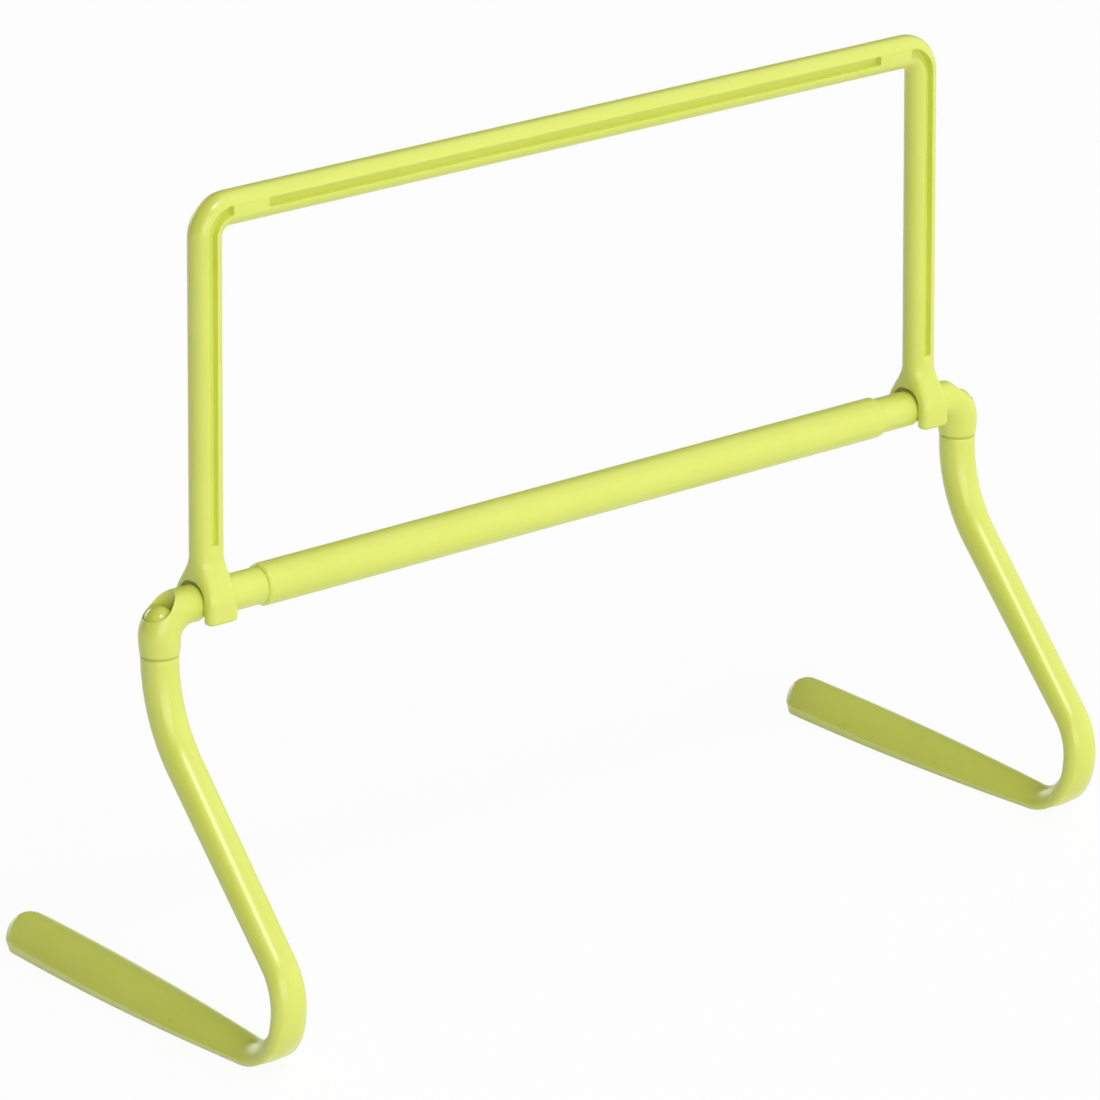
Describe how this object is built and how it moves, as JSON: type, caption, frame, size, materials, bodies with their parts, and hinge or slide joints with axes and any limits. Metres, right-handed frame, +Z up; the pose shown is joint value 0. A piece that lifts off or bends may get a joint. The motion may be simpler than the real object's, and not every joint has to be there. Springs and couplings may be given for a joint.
{
  "type": "speed hurdle",
  "caption": "Low training hurdle: a tubular crossbar on two bent swivelling legs, with a U-shaped frame that flips over the bar to change the hurdle's height.",
  "frame": {"origin": "on the floor, at the centre of the hurdle's bounding box seen from above", "axes": "+X along the crossbar, towards the right leg; +Y backwards, towards the rear ends of the feet; +Z up"},
  "size_m": [0.4098, 0.1689, 0.3051],
  "materials": {
    "moulding": "satin fluorescent yellow-green",
    "tube": "satin fluorescent yellow-green",
    "plug": "gloss yellow-green",
    "liner": "dull dark olive nylon",
    "washer": "dull olive-green nylon"
  },
  "bodies": {
    "crossbar": {"crossbar_tube": "tube", "left_elbow": "moulding", "right_elbow": "moulding"},
    "flip_frame": {"hurdle_frame": "moulding", "left_grip_clip": "liner", "right_grip_clip": "liner"},
    "left_foot_leg": {"left_leg": "moulding", "left_swivel_plug": "plug", "left_swivel_washer": "washer"},
    "right_foot_leg": {"right_leg": "moulding", "right_swivel_plug": "plug", "right_swivel_washer": "washer"}
  },
  "joints": [
    {"name": "frame_flip", "type": "hinge", "parent": "crossbar", "child": "flip_frame", "pos_m": [0, -0.00662, 0.1554], "axis": [1, 0, 0], "range_deg": [-170, 170]},
    {"name": "left_leg_swivel", "type": "hinge", "parent": "crossbar", "child": "left_foot_leg", "pos_m": [-0.193, -0.00662, 0.1], "axis": [0, 0, 1], "range_deg": [-90, 0]},
    {"name": "right_leg_swivel", "type": "hinge", "parent": "crossbar", "child": "right_foot_leg", "pos_m": [0.193, -0.00662, 0.1], "axis": [0, 0, 1], "range_deg": [0, 90]}
  ]
}
